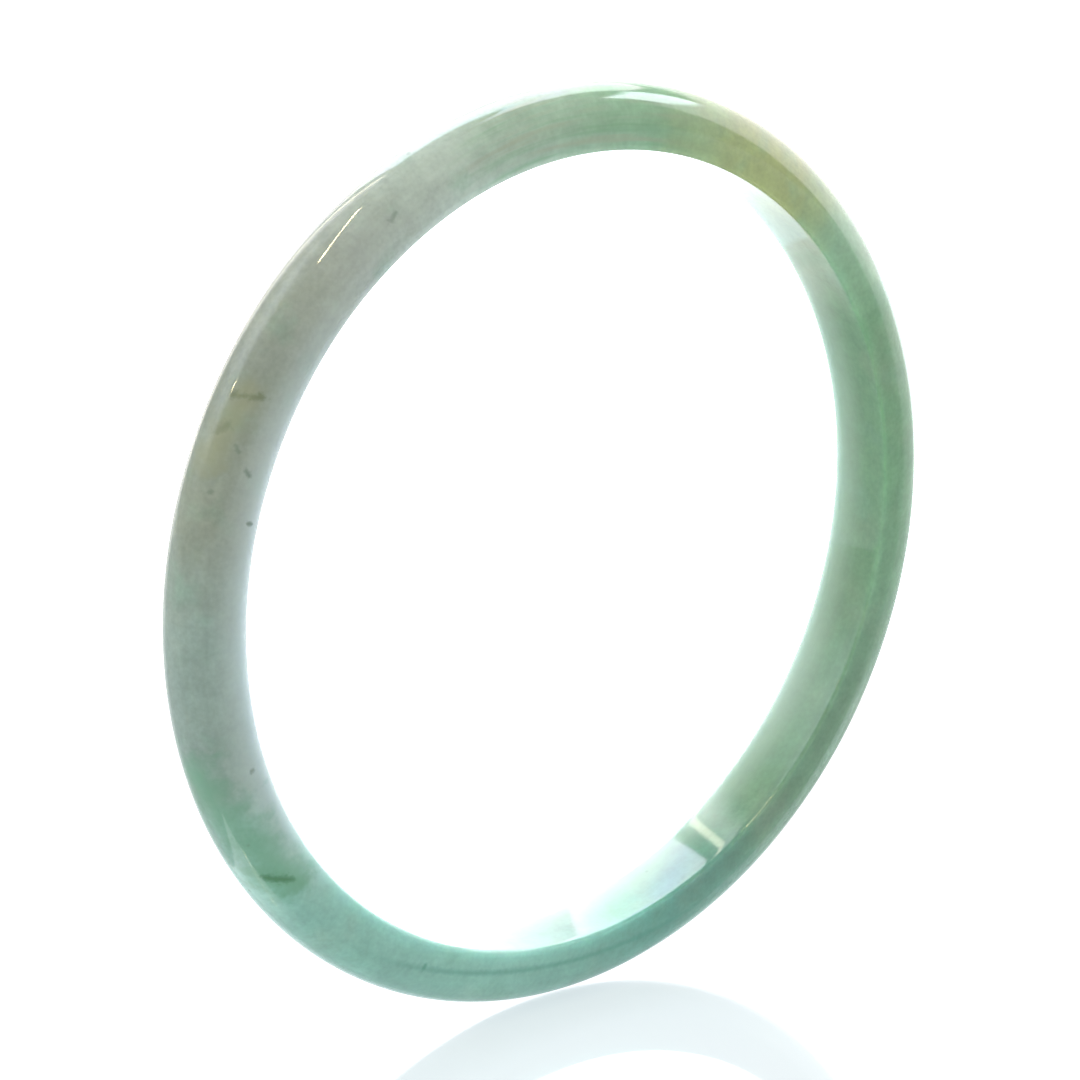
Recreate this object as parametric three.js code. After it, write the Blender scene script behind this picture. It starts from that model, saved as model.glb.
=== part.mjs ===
// A slim bangle bracelet ground from one piece of jadeite.
//
// Frame: millimetres, +Z up. The bangle stands upright on its rim, with its axis along +Y and its
// centre at the origin. The wrist passes through along Y.
//
// The cross-section is a D: a straight inner wall that touches the wrist, two narrow flat side
// lands, and a dome outside. Everything is polished, so the inner edges are only slightly rounded.

import * as THREE from 'three';

// ---- Driving dimensions, in millimetres ----

const INNER_DIAMETER = 58.0;   // the wrist hole, the size a bangle is sold by
const WALL_THICKNESS = 4.5;    // from the inner wall to the crown of the dome
const BAND_WIDTH = 5.5;        // along the axis, between the two side lands
const INNER_EDGE_ROUND = 0.25; // radius between the inner wall and each side land
const SIDE_LAND_HEIGHT = 0.75; // radial height of the flat side land
const DOME_FULLNESS = 2.2;     // superellipse exponent: 2 is an ellipse, more is squarer

// ---- Facets ----

const FACETS_AROUND = 144;     // round the ring
const DOME_FACETS = 30;        // across the dome, from one side land to the other
const EDGE_FACETS = 4;         // across each rounded inner edge

// ---- Appearance ----

const JADE_COLOUR = 0x8fb09c;  // pale grey-green
const JADE_ROUGHNESS = 0.12;   // mirror-like hand polish

// ---- Derived dimensions ----

const INNER_RADIUS = INNER_DIAMETER / 2;
const HALF_WIDTH = BAND_WIDTH / 2;
const LAND_START_RADIUS = INNER_RADIUS + INNER_EDGE_ROUND;
const DOME_START_RADIUS = LAND_START_RADIUS + SIDE_LAND_HEIGHT;
const DOME_HEIGHT = INNER_RADIUS + WALL_THICKNESS - DOME_START_RADIUS;

// The rounded inner edge on the -Y side, from the inner wall out to the side land.
function innerEdgeArc() {
  const points = [];
  for (let step = 0; step <= EDGE_FACETS; step += 1) {
    const angle = (Math.PI / 2) * (step / EDGE_FACETS);
    const radius = LAND_START_RADIUS - INNER_EDGE_ROUND * Math.cos(angle);
    const fromMiddle = HALF_WIDTH - INNER_EDGE_ROUND * (1 - Math.sin(angle));
    points.push(new THREE.Vector2(radius, -fromMiddle));
  }
  return points;
}

// The dome, from the side land on -Y over the crown to the side land on +Y. A superellipse: one
// semi-axis is the half width of the band and the other the height of the dome above the lands.
function domeArc() {
  const points = [];
  const power = 2 / DOME_FULLNESS;
  for (let step = 0; step <= DOME_FACETS; step += 1) {
    const angle = Math.PI * (step / DOME_FACETS);
    const across = -Math.cos(angle);
    const above = Math.abs(Math.sin(angle));
    const axial = HALF_WIDTH * Math.sign(across) * Math.abs(across) ** power;
    const radius = DOME_START_RADIUS + DOME_HEIGHT * above ** power;
    points.push(new THREE.Vector2(radius, axial));
  }
  return points;
}

// The same points on the +Y side, in reverse, so that the outline keeps running one way.
function mirrored(points) {
  return points.map((point) => new THREE.Vector2(point.x, -point.y)).reverse();
}

// The closed D outline of the band, as (radius, position along the axis).
function sectionOutline() {
  const edge = innerEdgeArc();
  const outline = [...edge, ...domeArc(), ...mirrored(edge)];
  outline.push(edge[0].clone());
  return outline;
}

// The stone itself: the D outline spun once round the Y axis.
function bangleRing() {
  const geometry = new THREE.LatheGeometry(sectionOutline(), FACETS_AROUND);
  const material = new THREE.MeshStandardMaterial({
    color: JADE_COLOUR,
    roughness: JADE_ROUGHNESS,
    metalness: 0,
  });
  material.name = 'jade';
  const mesh = new THREE.Mesh(geometry, material);
  mesh.name = 'bangle_ring';
  return mesh;
}

const group = new THREE.Group();
group.name = 'bangle_bracelet';
group.add(bangleRing());

export default group;
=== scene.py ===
"""Looks, light and camera for the jadeite bangle bracelet.

Everything is in metres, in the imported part's own frame: the bangle stands upright on its rim,
its axis along +Y, its centre at the origin and +Z up. Angles round the ring are in degrees from
+X, turning towards +Z.
"""

import math

import bpy
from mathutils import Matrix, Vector, noise


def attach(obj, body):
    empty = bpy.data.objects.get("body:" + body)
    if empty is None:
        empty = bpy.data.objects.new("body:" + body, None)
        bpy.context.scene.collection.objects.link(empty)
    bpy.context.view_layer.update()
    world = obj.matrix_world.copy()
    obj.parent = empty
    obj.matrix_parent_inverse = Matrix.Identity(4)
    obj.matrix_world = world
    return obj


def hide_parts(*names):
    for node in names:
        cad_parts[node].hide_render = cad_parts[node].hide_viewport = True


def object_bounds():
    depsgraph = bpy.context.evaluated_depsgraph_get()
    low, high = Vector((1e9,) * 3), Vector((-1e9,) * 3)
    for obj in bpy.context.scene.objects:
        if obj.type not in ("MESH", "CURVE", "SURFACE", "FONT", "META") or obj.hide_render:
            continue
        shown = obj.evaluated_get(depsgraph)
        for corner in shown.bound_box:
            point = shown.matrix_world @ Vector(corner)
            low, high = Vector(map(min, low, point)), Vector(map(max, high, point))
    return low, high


MM = 0.001

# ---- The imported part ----

BODY = "root"
NODE = "bangle_ring"

# ---- Band section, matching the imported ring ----

WALL_THICKNESS = 4.5 * MM
INNER_EDGE_ROUND = 0.25 * MM
SIDE_LAND_HEIGHT = 0.75 * MM
DOME_FULLNESS = 2.2
WALL_CROWN = 0.05 * MM         # polishing leaves the wrist side a hair proud in the middle

# ---- Mesh fineness ----

STEPS_AROUND = 480
DOME_STEPS = 56
EDGE_STEPS = 5
LAND_STEPS = 2
WALL_STEPS = 16

# ---- Hand polish: the band is never perfectly even ----

POLISH_WAVE = 0.012 * MM       # how far the surface strays
POLISH_WAVELENGTH = 6.0 * MM   # over what distance

# ---- Camera ----

CAMERA_AZIMUTH = -39.1         # degrees, 0 looks along +Y
CAMERA_ELEVATION = 18.1
CAMERA_DISTANCE = 0.4188
AIM_RIGHT = -0.00108           # the aim point, seen from the camera
AIM_UP = 0.00046
SENSOR_WIDTH = 36.0            # millimetres
FOCAL_LENGTH = 197.4           # millimetres
NEAREST_SEEN = 0.01
FARTHEST_SEEN = 20

# ---- Jade: colours are linear ----

JADE_ROUGHNESS = 0.04
JADE_INDEX = 1.66
GLOW_DEPTH = 3.5 * MM          # how far light wanders inside the stone
GLOW_TINT = (0.85, 0.85, 1.0)

GREY = (0.23, 0.31, 0.26)
WARM_GREY = (0.22, 0.26, 0.20)
PALE = (0.36, 0.43, 0.36)
LIGHT_GREY = (0.30, 0.34, 0.29)
LEAF_GREEN = (0.19, 0.34, 0.20)
OLIVE = (0.27, 0.32, 0.12)
GREEN = (0.13, 0.27, 0.15)
DEEP_GREEN = (0.12, 0.27, 0.13)
TEAL = (0.21, 0.42, 0.34)
DEEP_TEAL = (0.10, 0.30, 0.23)
LEAF_PATCH = (0.12, 0.32, 0.19)
DARK_PATCH = (0.09, 0.27, 0.14)
TAN_PATCH = (0.27, 0.29, 0.16)
VEIN_GREEN = (0.03, 0.16, 0.05)
TEAL_SPECK = (0.05, 0.22, 0.15)
MOSS = (0.12, 0.15, 0.07)
SPECK = (0.10, 0.15, 0.10)

# Body colour by angle round the ring, from -180 to 180 degrees.
ZONES = (
    (-180, GREY),
    (-160, GREY),
    (-145, TEAL),
    (-100, TEAL),
    (-75, DEEP_TEAL),
    (-50, GREEN),
    (-20, GREEN),
    (5, DEEP_GREEN),
    (25, DEEP_GREEN),
    (38, LEAF_GREEN),
    (50, OLIVE),
    (60, OLIVE),
    (78, LEAF_GREEN),
    (110, PALE),
    (130, LIGHT_GREY),
    (145, WARM_GREY),
    (165, WARM_GREY),
    (180, GREY),
)

# Veins and patches: each runs between two points of the surface, given as an angle and
# millimetres along the axis and out from it, then half width, strength at the middle and colour.
MARKS = (
    ((197, -0.5, 33.4), (215, -2.5, 31.6), 2.8 * MM, 0.75, LEAF_PATCH),
    ((212, -1.7, 33.0), (217, -2.7, 30.8), 1.2 * MM, 0.45, DARK_PATCH),
    ((213, -2.0, 32.6), (215.5, -2.7, 31.3), 0.45 * MM, 0.85, VEIN_GREEN),
    ((157, -1.0, 33.3), (149, -1.8, 32.8), 2.0 * MM, 0.60, TAN_PATCH),
    ((149.5, -1.1, 33.2), (148.5, -2.4, 32.0), 0.42 * MM, 0.75, MOSS),
    ((154, -1.0, 33.3), (153, -1.5, 33.1), 0.5 * MM, 0.40, MOSS),
    ((157.5, -2.6, 31.2), (158, -2.7, 30.9), 0.30 * MM, 0.70, SPECK),
    ((155, -2.2, 32.3), (155.5, -2.3, 32.1), 0.28 * MM, 0.50, SPECK),
    ((164, -2.7, 30.0), (164, -2.7, 29.7), 0.25 * MM, 0.80, SPECK),
    ((161, -1.6, 32.9), (161, -1.7, 32.9), 0.25 * MM, 0.45, SPECK),
    ((198, -2.7, 30.4), (198, -2.7, 30.2), 0.25 * MM, 0.60, SPECK),
    ((120, -2.4, 31.8), (121, -2.5, 31.6), 0.30 * MM, 0.45, SPECK),
    ((243, -2.7, 31.0), (243, -2.7, 30.8), 0.30 * MM, 0.60, TEAL_SPECK),
)
WIDE_MARK = 1.0 * MM           # from this half width up, a mark breaks up coarsely

# A painted reflection: a thin dark line in the front face at the bottom, where that face mirrors the
# darker floor just in front of the bangle. It is nearest the axis at this angle and radius, and moves
# outward to each side.
DARK_REFLECTION_ANGLE = -95
DARK_REFLECTION_SPREAD = 26           # degrees each way, over which it moves out by DARK_REFLECTION_SHIFT
DARK_REFLECTION_RADIUS = 30.5 * MM
DARK_REFLECTION_SHIFT = 0.8 * MM
DARK_REFLECTION_HALF_WIDTH = 0.38 * MM
DARK_REFLECTION_STRENGTH = 0.5
DARK_REFLECTION_COLOUR = (0.05, 0.24, 0.17)
DARK_REFLECTION_RAGGED = 0.5          # how much the grain breaks it up
DARK_REFLECTION_ENDS = (1.4, 0.5)     # it comes up between these shares of DARK_REFLECTION_SPREAD
DARK_REFLECTION_FACE = (-1.8 * MM, -2.2 * MM)  # and between these two places along the axis

# Shading noise: size, octaves of detail, and how far it swings the shade either way.
CLOUD_SIZE = 5.0 * MM
CLOUD_DETAIL = 3
CLOUD_SWING = 0.15
MOTTLE_SIZE = 1.4 * MM
MOTTLE_DETAIL = 3
MOTTLE_SWING = 0.2
GRAIN_SIZE = 0.35 * MM
GRAIN_DETAIL = 2
GRAIN_SWING = 0.12
ZONE_STRAY = 10                # degrees by which the clouds move the zones either way

# Tinted clouds: colour, strength, size, noise seed, and the noise values each comes up between.
TINTED_CLOUDS = (
    ((0.31, 0.33, 0.23), 0.22, 6.25 * MM, 3.0, (0.50, 0.75)),
    ((0.16, 0.33, 0.22), 0.30, 3.125 * MM, 7.0, (0.52, 0.75)),
)
TINTED_DETAIL = 4

# Fibres drawn out along the band. At the top the strong ones are green and the weak ones warm.
FIBRE_TURNS = 2.5              # how fast they change along the band
FIBRE_FINENESS = 1.6 / MM      # and across it
FIBRE_DETAIL = 3
FIBRE_SWING = 0.12
FIBRE_TOP = (0.92, 0.985)      # the tints come up between these heights, as shares of the radius
FIBRE_TINTS = (
    ((0.11, 0.26, 0.13), 0.6, (0.45, 0.7)),
    ((0.30, 0.32, 0.22), 0.5, (0.5, 0.3)),
)

# Small dark inclusions, one to a cell. Each pair is where the inclusion comes up.
SPECK_SPACING = 1.6 * MM
SPECK_SIZE = (0.16, 0.06)      # distance from the middle of the cell, as a share of the spacing
SPECK_CHOICE = (0.68, 0.8)     # the mean of the first two random numbers of the cell
MEAN_OF_FIRST_TWO = (0.5, 0.5, 0)
SPECK_CLOUDS = (0.4, 0.6)      # thickness of the clouds
SPECK_STRENGTH = 0.5

# Painted light and shade on the thin edges: a painted glow, as of light shining through the stone,
# makes the back one on the wrist side paler, and the front one on the left. The front one has painted
# shade at the lower right. Each pair of places is where the painted colour starts and is full.
WRIST_SIDE = (29.6 * MM, 29.3 * MM)
BACK_EDGE = (-1.2 * MM, 2.75 * MM)
PAINTED_BACK_EDGE_GLOW = (0.44, 0.56, 0.46)
PAINTED_BACK_GLOW_STRENGTH = 0.65
FRONT_SIDE = (-1.5 * MM, -2.6 * MM)
FRONT_EDGE = (32.4 * MM, 29.2 * MM)
LEFT_PART = (-16 * MM, -28 * MM)
LEFT_PART_LOW_END = (-24 * MM, -14 * MM)
PAINTED_LEFT_EDGE_GLOW = (0.45, 0.52, 0.50)
PAINTED_LEFT_GLOW_STRENGTH = 0.6
RIGHT_PART = (2 * MM, 14 * MM)
LOW_PART = (-6 * MM, -18 * MM)
PAINTED_LOW_RIGHT_SHADE = 0.22         # the share of light it loses

# ---- Floor ----

FLOOR_HALF_SIZE = 0.6
FLOOR_GAP = 0.4 * MM           # the bangle is held this far off the sheet
FLOOR_ALBEDO = 0.16
FLOOR_ROUGHNESS = 0.03
FLOOR_INDEX = 1.5
FLOOR_GLOW = (0.60, 0.66, 0.69)  # the sheet is lit from below
BRIGHT_GLOW = (1.6, 1.8, 1.9)    # and more so under the window, behind and to the right
MIDDLE_GLOW = (1.25, 1.2, 1.2)
MIDDLE_EDGE = (0.006, 0.022)   # they come up between these places along +X
BRIGHT_EDGE = (0.032, 0.034)
BRIGHT_BACK = (0.030, 0.042)   # and both between these two along +Y

# A lit wedge on the left. It mirrors as a pale triangle low on the dome.
WEDGE_GLOW = (1.6, 1.65, 1.7)
WEDGE_BACK = (-0.046, -0.006)  # a point on its back edge
WEDGE_SLOPE = 1.38             # of that edge
WEDGE_FRONT = -0.0075          # its front edge runs along X
WEDGE_FADE = (-0.024, -0.032)  # it comes up between these two places along X
WEDGE_SOFT = 0.0006

# ---- Light: radiance by direction, azimuth from +X towards +Y and elevation, in degrees ----

ROOM_LIGHT = (1.0, 1.0, 1.0)   # the least light from any side, which already shows as white
SWEEP_LIGHT = (2.8, 2.6, 2.8)  # the white sweep behind the bangle, and beside the window
STRIP_LIGHT = (6.3, 5.9, 5.0)  # a warm strip there
SIDE_LIGHT = (7.0, 7.6, 8.2)   # a second, smaller panel to the right
LEFT_LIGHT = (2.2, 2.3, 2.5)   # and a broad faint one to the left

# Each panel's azimuths, elevations, half the width of its soft edge, and light.
PANELS = (
    ((-30, 84), (-90, 27), 2.0, SWEEP_LIGHT),
    ((90, 99), (-50, 62), 5.0, SWEEP_LIGHT),
    ((88.7, 91.3), (-10, 62), 0.8, STRIP_LIGHT),
    ((-24, 1), (27, 41), 1.8, SIDE_LIGHT),
    ((120, 164), (18, 56), 14.0, LEFT_LIGHT),
)

# Small lamps: each runs between two directions, and has this angular half width in radians.
LAMP_LIGHT = (60.0, 50.0, 28.0)
LAMPS = (
    ((164, 33), (164, 34), 0.022),
    ((-145, 61), (176, 77), 0.030),
)

# The window, tinted by elevation. Its right end slants up.
WINDOW_STRENGTH = 5.6
WINDOW_AZIMUTHS = (4, 83)
WINDOW_ELEVATIONS = (26, 59)
WINDOW_SOFT = 1.0
WINDOW_RAISED = 16.0           # degrees it is raised at azimuth 0
WINDOW_SLANT = 0.45            # degrees of that lost for each degree of azimuth
WINDOW_TINTS = (
    (26, (0.90, 0.72, 0.84)),  # rose
    (30, (0.78, 0.84, 0.82)),
    (35, (0.72, 0.88, 0.80)),  # mint
    (40, (0.80, 0.84, 0.86)),
    (44, (0.80, 0.74, 1.00)),  # lavender
    (50, (0.86, 0.86, 0.90)),
    (60, (0.66, 0.90, 1.10)),  # sky
)


# ---- Colour sockets of the Mix node ----

MIX_FIRST = 6
MIX_SECOND = 7
MIX_RESULT = 2


# ---------------------------------------------------------------- geometry

def section_outline(outer_radius, half_width):
    """The closed D outline of the band as (radius, position along the axis) pairs."""
    inner_radius = outer_radius - WALL_THICKNESS
    land_start = inner_radius + INNER_EDGE_ROUND
    dome_start = land_start + SIDE_LAND_HEIGHT
    dome_height = outer_radius - dome_start
    power = 2 / DOME_FULLNESS
    edge = []
    for step in range(EDGE_STEPS + 1):
        angle = math.pi / 2 * step / EDGE_STEPS
        radius = land_start - INNER_EDGE_ROUND * math.cos(angle)
        from_middle = half_width - INNER_EDGE_ROUND * (1 - math.sin(angle))
        edge.append((radius, -from_middle))
    land = []
    for step in range(1, LAND_STEPS):
        land.append((land_start + SIDE_LAND_HEIGHT * step / LAND_STEPS, -half_width))
    dome = []
    for step in range(DOME_STEPS + 1):
        angle = math.pi * step / DOME_STEPS
        across = -math.cos(angle)
        above = abs(math.sin(angle))
        axial = half_width * math.copysign(abs(across) ** power, across)
        dome.append((dome_start + dome_height * above ** power, axial))
    front = edge + land
    back = [(radius, -axial) for radius, axial in reversed(front)]
    wall = []
    wall_half = half_width - INNER_EDGE_ROUND
    for step in range(1, WALL_STEPS):
        across = 1 - 2 * step / WALL_STEPS
        wall.append((inner_radius - WALL_CROWN * (1 - across ** 2), wall_half * across))
    return front + dome + back + wall


def make_ring(outer_radius, half_width):
    """The stone ring: the outline carried round the Y axis, with the slight unevenness of polish."""
    outline = section_outline(outer_radius, half_width)
    middle = outer_radius - WALL_THICKNESS / 2
    vertices = []
    for step in range(STEPS_AROUND):
        angle = 2 * math.pi * step / STEPS_AROUND
        outward = Vector((math.cos(angle), 0, math.sin(angle)))
        centre = outward * middle
        for radius, axial in outline:
            point = outward * radius + Vector((0, axial, 0))
            wave = noise.noise(point / POLISH_WAVELENGTH)
            away = (point - centre).normalized()
            vertices.append(point + away * wave * POLISH_WAVE)
    count = len(outline)
    faces = []
    for step in range(STEPS_AROUND):
        here = step * count
        there = (step + 1) % STEPS_AROUND * count
        for side in range(count):
            after = (side + 1) % count
            faces.append((here + side, here + after, there + after, there + side))
    mesh = bpy.data.meshes.new("jade_ring")
    mesh.from_pydata(vertices, [], faces)
    mesh.shade_smooth()
    ring = bpy.data.objects.new("jade_ring", mesh)
    bpy.context.collection.objects.link(ring)
    return ring


def make_floor(height):
    """A plain glossy white sheet under the bangle."""
    side = FLOOR_HALF_SIZE
    corners = [
        (-side, -side, height),
        (side, -side, height),
        (side, side, height),
        (-side, side, height),
    ]
    mesh = bpy.data.meshes.new("floor_sheet")
    mesh.from_pydata(corners, [], [(0, 1, 2, 3)])
    floor = bpy.data.objects.new("floor_sheet", mesh)
    bpy.context.collection.objects.link(floor)
    return floor


# ---------------------------------------------------------------- materials

class Graph:
    """Short names for the few node kinds used here."""

    def __init__(self, tree):
        self.tree = tree

    def node(self, kind, **settings):
        made = self.tree.nodes.new(kind)
        for key, value in settings.items():
            setattr(made, key, value)
        return made

    def feed(self, socket, value):
        if isinstance(value, bpy.types.NodeSocket):
            self.tree.links.new(value, socket)
        else:
            socket.default_value = value

    def maths(self, operation, *values):
        made = self.node("ShaderNodeMath", operation=operation)
        for socket, value in zip(made.inputs, values):
            self.feed(socket, value)
        return made.outputs[0]

    def vectors(self, operation, *values):
        """Vector maths. The answer is a number for a length or a dot product."""
        made = self.node("ShaderNodeVectorMath", operation=operation)
        for socket, value in zip(made.inputs, values):
            self.feed(socket, value)
        is_number = operation in ("LENGTH", "DOT_PRODUCT")
        return made.outputs["Value" if is_number else "Vector"]

    def swing(self, value, amount):
        """A factor about 1 that follows a noise value from 1 - amount to 1 + amount."""
        return self.maths("MULTIPLY_ADD", value, 2 * amount, 1 - amount)

    def scale(self, vector, factor):
        made = self.node("ShaderNodeVectorMath", operation="SCALE")
        self.feed(made.inputs[0], vector)
        self.feed(made.inputs["Scale"], factor)
        return made.outputs["Vector"]

    def split(self, vector):
        made = self.node("ShaderNodeSeparateXYZ")
        self.feed(made.inputs[0], vector)
        return made.outputs

    def noise(self, vector, fineness, detail, seed=0.0):
        made = self.node("ShaderNodeTexNoise", noise_dimensions="4D")
        self.feed(made.inputs["Vector"], vector)
        self.feed(made.inputs["W"], seed)
        self.feed(made.inputs["Scale"], fineness)
        self.feed(made.inputs["Detail"], detail)
        return made.outputs["Fac"]

    def ramp_between(self, value, low, high):
        """0 at low, 1 at high, smooth between."""
        made = self.node("ShaderNodeMapRange", interpolation_type="SMOOTHSTEP")
        for name, given in (("Value", value), ("From Min", low), ("From Max", high)):
            self.feed(made.inputs[name], given)
        return made.outputs[0]

    def near_segment(self, place, start, finish, width, ragged=1.0):
        """1 on the line between two points, falling to 0 at the given width. ragged breaks up the edge."""
        along = finish - start
        offset = self.vectors("SUBTRACT", place, start)
        share = self.maths("DIVIDE", self.vectors("DOT_PRODUCT", offset, along), along.length_squared)
        share = self.maths("MAXIMUM", self.maths("MINIMUM", share, 1.0), 0.0)
        away = self.vectors("LENGTH", self.vectors("SUBTRACT", offset, self.scale(along, share)))
        return self.ramp_between(self.maths("MULTIPLY", away, ragged), width, 0.0)

    def colour_stops(self, value, low, high, stops):
        """A run of colours, each at its own place between low and high."""
        made = self.node("ShaderNodeValToRGB")
        elements = made.color_ramp.elements
        while len(elements) < len(stops):
            elements.new(0.5)
        for element, (place, colour) in zip(elements, stops):
            element.position = (place - low) / (high - low)
            element.color = (*colour, 1)
        self.feed(made.inputs[0], self.maths("DIVIDE", self.maths("SUBTRACT", value, low), high - low))
        return made.outputs[0]

    def mix(self, factor, first, second):
        made = self.node("ShaderNodeMix", data_type="RGBA")
        self.feed(made.inputs[0], factor)
        self.feed(made.inputs[MIX_FIRST], first)
        self.feed(made.inputs[MIX_SECOND], second)
        return made.outputs[MIX_RESULT]


def new_material(name):
    """A material with one Principled shader; returns the material and the shader node."""
    material = bpy.data.materials.new(name)
    material.use_nodes = True
    return material, material.node_tree.nodes["Principled BSDF"]


def on_ring(angle, axial, radius):
    """A point of the stone from its angle round the ring and its millimetres along and off the axis."""
    turn = math.radians(angle)
    return Vector((radius * math.cos(turn), axial, radius * math.sin(turn))) * MM


def fibre_noise(graph, x, y, z, radius):
    """Noise drawn out along the band, with no seam round the ring."""
    place = graph.node("ShaderNodeCombineXYZ")
    for socket, value in ((place.inputs[0], x), (place.inputs[1], z)):
        graph.feed(socket, graph.maths("MULTIPLY", graph.maths("DIVIDE", value, radius), FIBRE_TURNS))
    graph.feed(place.inputs[2], graph.maths("MULTIPLY", y, FIBRE_FINENESS))
    across = graph.maths("MULTIPLY", radius, FIBRE_FINENESS)
    return graph.noise(place.outputs[0], 1.0, FIBRE_DETAIL, seed=across)


def speckle(graph, place, clouds):
    """Small dark inclusions, only where the clouds are thick."""
    cells = graph.node("ShaderNodeTexVoronoi")
    graph.feed(cells.inputs["Vector"], place)
    graph.feed(cells.inputs["Scale"], 1 / SPECK_SPACING)
    dots = graph.ramp_between(cells.outputs["Distance"], *SPECK_SIZE)
    random = graph.vectors("DOT_PRODUCT", cells.outputs["Color"], MEAN_OF_FIRST_TWO)
    chosen = graph.ramp_between(random, *SPECK_CHOICE)
    thick = graph.ramp_between(clouds, *SPECK_CLOUDS)
    return graph.maths("MULTIPLY", graph.maths("MULTIPLY", dots, chosen), thick)


def painted_dark_reflection(graph, angle, y, radius, grain):
    """1 along the painted dark reflection line, 0 away from it."""
    turned = graph.maths("DIVIDE", graph.maths("SUBTRACT", angle, DARK_REFLECTION_ANGLE), DARK_REFLECTION_SPREAD)
    shift = graph.maths("MULTIPLY", graph.maths("MULTIPLY", turned, turned), DARK_REFLECTION_SHIFT)
    away = graph.maths("SUBTRACT", radius, graph.maths("ADD", shift, DARK_REFLECTION_RADIUS))
    away = graph.maths("MULTIPLY", graph.maths("ABSOLUTE", away), graph.swing(grain, DARK_REFLECTION_RAGGED))
    line = graph.ramp_between(away, DARK_REFLECTION_HALF_WIDTH, 0.0)
    ends = graph.ramp_between(graph.maths("ABSOLUTE", turned), *DARK_REFLECTION_ENDS)
    line = graph.maths("MULTIPLY", line, ends)
    return graph.maths("MULTIPLY", line, graph.ramp_between(y, *DARK_REFLECTION_FACE))


def painted_edge_light(graph, colour, x, y, z, radius):
    """The body colour with a painted glow along the thin edges and painted shade at the lower right."""
    # Painted glow of light through the thin back edge, on the wrist side.
    back_edge = graph.ramp_between(radius, *WRIST_SIDE)
    back_edge = graph.maths("MULTIPLY", back_edge, graph.ramp_between(y, *BACK_EDGE))
    painted_glow = graph.maths("MULTIPLY", back_edge, PAINTED_BACK_GLOW_STRENGTH)
    colour = graph.mix(painted_glow, colour, (*PAINTED_BACK_EDGE_GLOW, 1))

    # Painted glow of light through the thin front edge, on the left.
    front_edge = graph.ramp_between(y, *FRONT_SIDE)
    front_edge = graph.maths("MULTIPLY", front_edge, graph.ramp_between(radius, *FRONT_EDGE))
    left_edge = graph.maths("MULTIPLY", front_edge, graph.ramp_between(x, *LEFT_PART))
    left_edge = graph.maths("MULTIPLY", left_edge, graph.ramp_between(z, *LEFT_PART_LOW_END))
    painted_glow = graph.maths("MULTIPLY", left_edge, PAINTED_LEFT_GLOW_STRENGTH)
    colour = graph.mix(painted_glow, colour, (*PAINTED_LEFT_EDGE_GLOW, 1))

    # Painted shade: the front edge darker at the lower right.
    painted_low_shade = graph.maths("MULTIPLY", front_edge, graph.ramp_between(x, *RIGHT_PART))
    painted_low_shade = graph.maths("MULTIPLY", painted_low_shade, graph.ramp_between(z, *LOW_PART))
    return graph.scale(colour, graph.maths("MULTIPLY_ADD", painted_low_shade, -PAINTED_LOW_RIGHT_SHADE, 1.0))


def fibre_colour(graph, colour, x, y, z, radius):
    """The body colour streaked by fibres, which are tinted at the top of the ring."""
    fibres = fibre_noise(graph, x, y, z, radius)
    top = graph.ramp_between(graph.maths("DIVIDE", z, radius), *FIBRE_TOP)
    for tint, strength, ends in FIBRE_TINTS:
        shown = graph.maths("MULTIPLY", top, graph.ramp_between(fibres, *ends))
        colour = graph.mix(graph.maths("MULTIPLY", shown, strength), colour, (*tint, 1))
    return graph.scale(colour, graph.swing(fibres, FIBRE_SWING))


def jade_colour(graph):
    """Zones of green, grey and olive round the ring, clouded, streaked and marked, with painted light and
    shade on the thin edges and a painted dark reflection at the bottom.
    """
    place = graph.node("ShaderNodeTexCoord").outputs["Object"]
    x, y, z = graph.split(place)
    squares = graph.maths("ADD", graph.maths("MULTIPLY", x, x), graph.maths("MULTIPLY", z, z))
    radius = graph.maths("SQRT", squares)
    clouds = graph.noise(place, 1 / CLOUD_SIZE, CLOUD_DETAIL)
    mottle = graph.noise(place, 1 / MOTTLE_SIZE, MOTTLE_DETAIL)
    grain = graph.noise(place, 1 / GRAIN_SIZE, GRAIN_DETAIL)

    angle = graph.maths("DEGREES", graph.maths("ARCTAN2", z, x))
    stray = graph.maths("MULTIPLY_ADD", clouds, 2 * ZONE_STRAY, -ZONE_STRAY)
    colour = graph.colour_stops(graph.maths("ADD", angle, stray), -180, 180, ZONES)
    for tint, strength, size, seed, ends in TINTED_CLOUDS:
        tinted = graph.ramp_between(graph.noise(place, 1 / size, TINTED_DETAIL, seed), *ends)
        colour = graph.mix(graph.maths("MULTIPLY", tinted, strength), colour, (*tint, 1))
    for shade, amount in ((clouds, CLOUD_SWING), (mottle, MOTTLE_SWING), (grain, GRAIN_SWING)):
        colour = graph.scale(colour, graph.swing(shade, amount))
    colour = fibre_colour(graph, colour, x, y, z, radius)
    # Painted light and shade on the thin edges.
    colour = painted_edge_light(graph, colour, x, y, z, radius)

    for start, finish, width, strength, tint in MARKS:
        ragged = graph.swing(mottle if width >= WIDE_MARK else grain, 1.0)
        near = graph.near_segment(place, on_ring(*start), on_ring(*finish), width, ragged)
        colour = graph.mix(graph.maths("MULTIPLY", near, strength), colour, (*tint, 1))
    # Painted reflection: the dark line at the bottom of the front face.
    line = graph.maths("MULTIPLY", painted_dark_reflection(graph, angle, y, radius, grain), DARK_REFLECTION_STRENGTH)
    colour = graph.mix(line, colour, (*DARK_REFLECTION_COLOUR, 1))
    specks = graph.maths("MULTIPLY", speckle(graph, place, clouds), SPECK_STRENGTH)
    return graph.mix(specks, colour, (*SPECK, 1))


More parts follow.
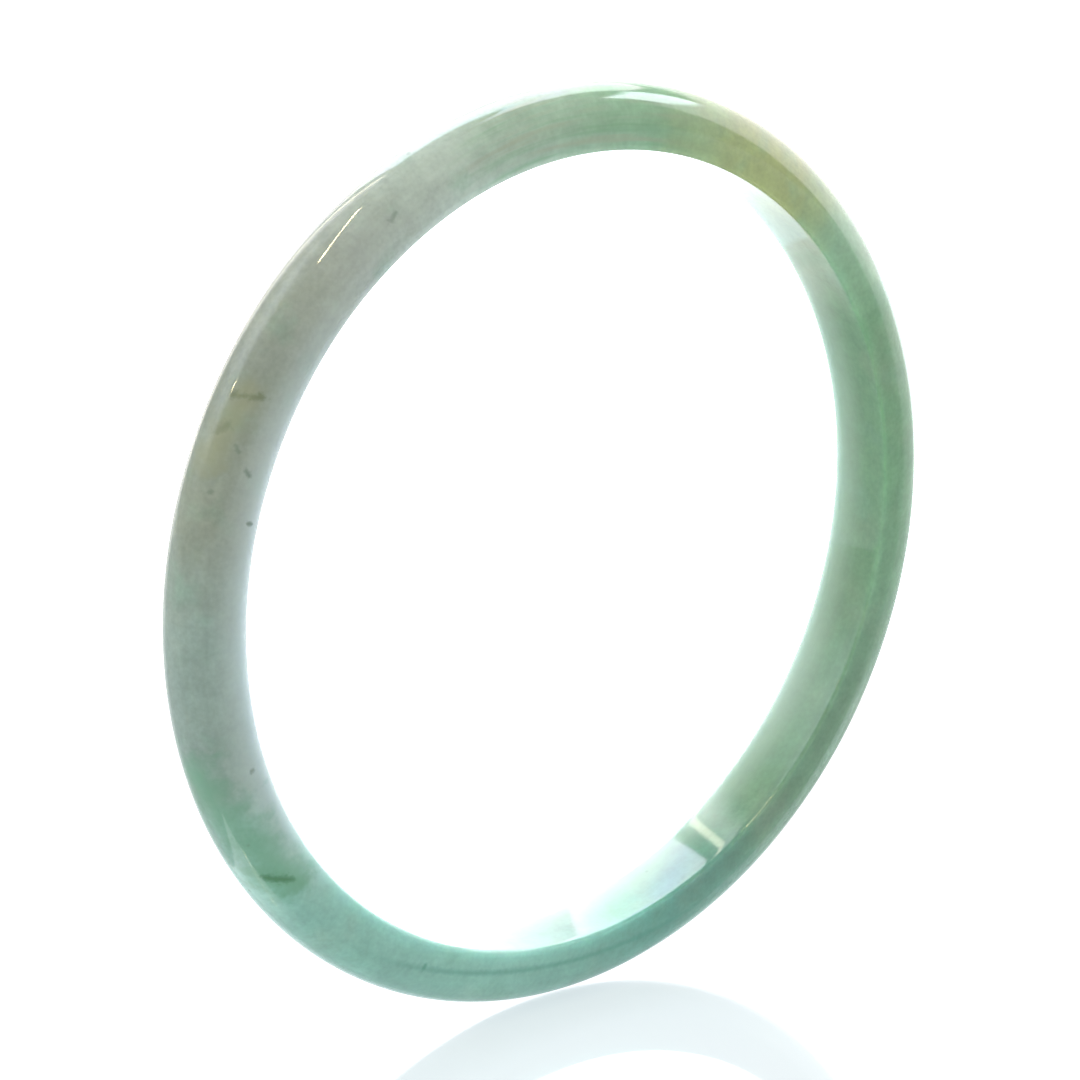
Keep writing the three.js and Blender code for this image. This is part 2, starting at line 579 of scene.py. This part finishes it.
def jade_material():
    """Polished, translucent jadeite."""
    material, shader = new_material("jade")
    graph = Graph(material.node_tree)
    graph.feed(shader.inputs["Base Color"], jade_colour(graph))
    shader.inputs["Roughness"].default_value = JADE_ROUGHNESS
    shader.inputs["IOR"].default_value = JADE_INDEX
    shader.inputs["Subsurface Weight"].default_value = 1.0
    shader.inputs["Subsurface Radius"].default_value = GLOW_TINT
    shader.inputs["Subsurface Scale"].default_value = GLOW_DEPTH
    return material


def floor_material():
    """Glossy white acrylic, lit from below. It is brighter behind and in a wedge on the left."""
    material, shader = new_material("white_acrylic")
    graph = Graph(material.node_tree)
    x, y, _ = graph.split(graph.node("ShaderNodeTexCoord").outputs["Object"])
    behind = graph.ramp_between(y, *BRIGHT_BACK)
    middle = graph.maths("MULTIPLY", behind, graph.ramp_between(x, *MIDDLE_EDGE))
    bright = graph.maths("MULTIPLY", behind, graph.ramp_between(x, *BRIGHT_EDGE))
    glow = graph.mix(middle, (*FLOOR_GLOW, 1), (*MIDDLE_GLOW, 1))
    glow = graph.mix(bright, glow, (*BRIGHT_GLOW, 1))
    back_x, back_y = WEDGE_BACK
    back_line = graph.maths("MULTIPLY_ADD", graph.maths("SUBTRACT", x, back_x), WEDGE_SLOPE, back_y)
    wedge = graph.ramp_between(graph.maths("SUBTRACT", back_line, y), 0.0, WEDGE_SOFT)
    wedge = graph.maths("MULTIPLY", wedge, graph.ramp_between(y, WEDGE_FRONT, WEDGE_FRONT + WEDGE_SOFT))
    wedge = graph.maths("MULTIPLY", wedge, graph.ramp_between(x, *WEDGE_FADE))
    glow = graph.mix(wedge, glow, (*WEDGE_GLOW, 1))
    graph.feed(shader.inputs["Emission Color"], glow)
    shader.inputs["Emission Strength"].default_value = 1.0
    shader.inputs["Base Color"].default_value = (FLOOR_ALBEDO, FLOOR_ALBEDO, FLOOR_ALBEDO, 1)
    shader.inputs["Roughness"].default_value = FLOOR_ROUGHNESS
    shader.inputs["IOR"].default_value = FLOOR_INDEX
    return material


# ---------------------------------------------------------------- light and camera

def patch(graph, azimuth, elevation, az_range, el_range, soft):
    """How far a direction is inside a box of azimuths and elevations, in degrees."""
    inside = None
    for value, (low, high) in ((azimuth, az_range), (elevation, el_range)):
        rise = graph.ramp_between(value, low - soft, low + soft)
        fall = graph.ramp_between(value, high + soft, high - soft)
        both = graph.maths("MULTIPLY", rise, fall)
        inside = both if inside is None else graph.maths("MULTIPLY", inside, both)
    return inside


def towards(azimuth, elevation):
    """The unit vector of a direction: azimuth from +X towards +Y, and elevation, in degrees."""
    turn, rise = math.radians(azimuth), math.radians(elevation)
    return Vector((math.cos(turn) * math.cos(rise), math.sin(turn) * math.cos(rise), math.sin(rise)))


def make_world():
    """White surroundings. Every direction is at least white; windows and lamps are brighter still."""
    world = bpy.data.worlds.new("studio")
    world.use_nodes = True
    graph = Graph(world.node_tree)
    direction = graph.node("ShaderNodeTexCoord").outputs["Generated"]
    x, y, z = graph.split(direction)
    azimuth = graph.maths("DEGREES", graph.maths("ARCTAN2", y, x))
    elevation = graph.maths("DEGREES", graph.maths("ARCSINE", z))

    colour = (*ROOM_LIGHT, 1)
    for azimuths, elevations, soft, light in PANELS:
        inside = patch(graph, azimuth, elevation, azimuths, elevations, soft)
        colour = graph.mix(inside, colour, (*light, 1))

    raised = graph.maths("MULTIPLY_ADD", azimuth, -WINDOW_SLANT, WINDOW_RAISED)
    height = graph.maths("SUBTRACT", elevation, graph.maths("MAXIMUM", raised, 0.0))
    window = patch(graph, azimuth, height, WINDOW_AZIMUTHS, WINDOW_ELEVATIONS, WINDOW_SOFT)
    tint = graph.colour_stops(height, 0, 90, WINDOW_TINTS)
    colour = graph.mix(window, colour, graph.scale(tint, WINDOW_STRENGTH))

    for start, finish, width in LAMPS:
        near = graph.near_segment(direction, towards(*start), towards(*finish), width)
        colour = graph.mix(near, colour, (*LAMP_LIGHT, 1))
    graph.feed(world.node_tree.nodes["Background"].inputs["Color"], colour)
    bpy.context.scene.world = world


def make_camera():
    azimuth = math.radians(CAMERA_AZIMUTH)
    elevation = math.radians(CAMERA_ELEVATION)
    back = Vector((
        math.sin(azimuth) * math.cos(elevation),
        -math.cos(azimuth) * math.cos(elevation),
        math.sin(elevation),
    ))
    right = Vector((math.cos(azimuth), math.sin(azimuth), 0))
    up = back.cross(right)
    lens = bpy.data.cameras.new("camera")
    lens.sensor_width = SENSOR_WIDTH
    lens.lens = FOCAL_LENGTH
    lens.clip_start = NEAREST_SEEN
    lens.clip_end = FARTHEST_SEEN
    camera = bpy.data.objects.new("camera", lens)
    camera.location = right * AIM_RIGHT + up * AIM_UP + back * CAMERA_DISTANCE
    camera.rotation_mode = "QUATERNION"
    camera.rotation_quaternion = (-back).to_track_quat("-Z", "Y")
    bpy.context.collection.objects.link(camera)
    bpy.context.scene.camera = camera


# ---------------------------------------------------------------- the scene

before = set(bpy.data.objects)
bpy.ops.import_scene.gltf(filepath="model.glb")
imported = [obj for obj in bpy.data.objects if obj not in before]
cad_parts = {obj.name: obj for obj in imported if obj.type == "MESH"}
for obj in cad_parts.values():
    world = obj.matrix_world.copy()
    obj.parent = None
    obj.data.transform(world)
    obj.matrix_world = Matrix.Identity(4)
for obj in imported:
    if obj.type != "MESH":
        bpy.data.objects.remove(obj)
cad_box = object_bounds()
cad_low, cad_high = cad_box

ring = make_ring(cad_high.x, cad_high.y)
ring.data.materials.append(jade_material())
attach(ring, BODY)
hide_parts(NODE)

floor = make_floor(cad_low.z - FLOOR_GAP)
floor.data.materials.append(floor_material())

make_world()
make_camera()
bpy.context.scene.view_settings.view_transform = "Standard"
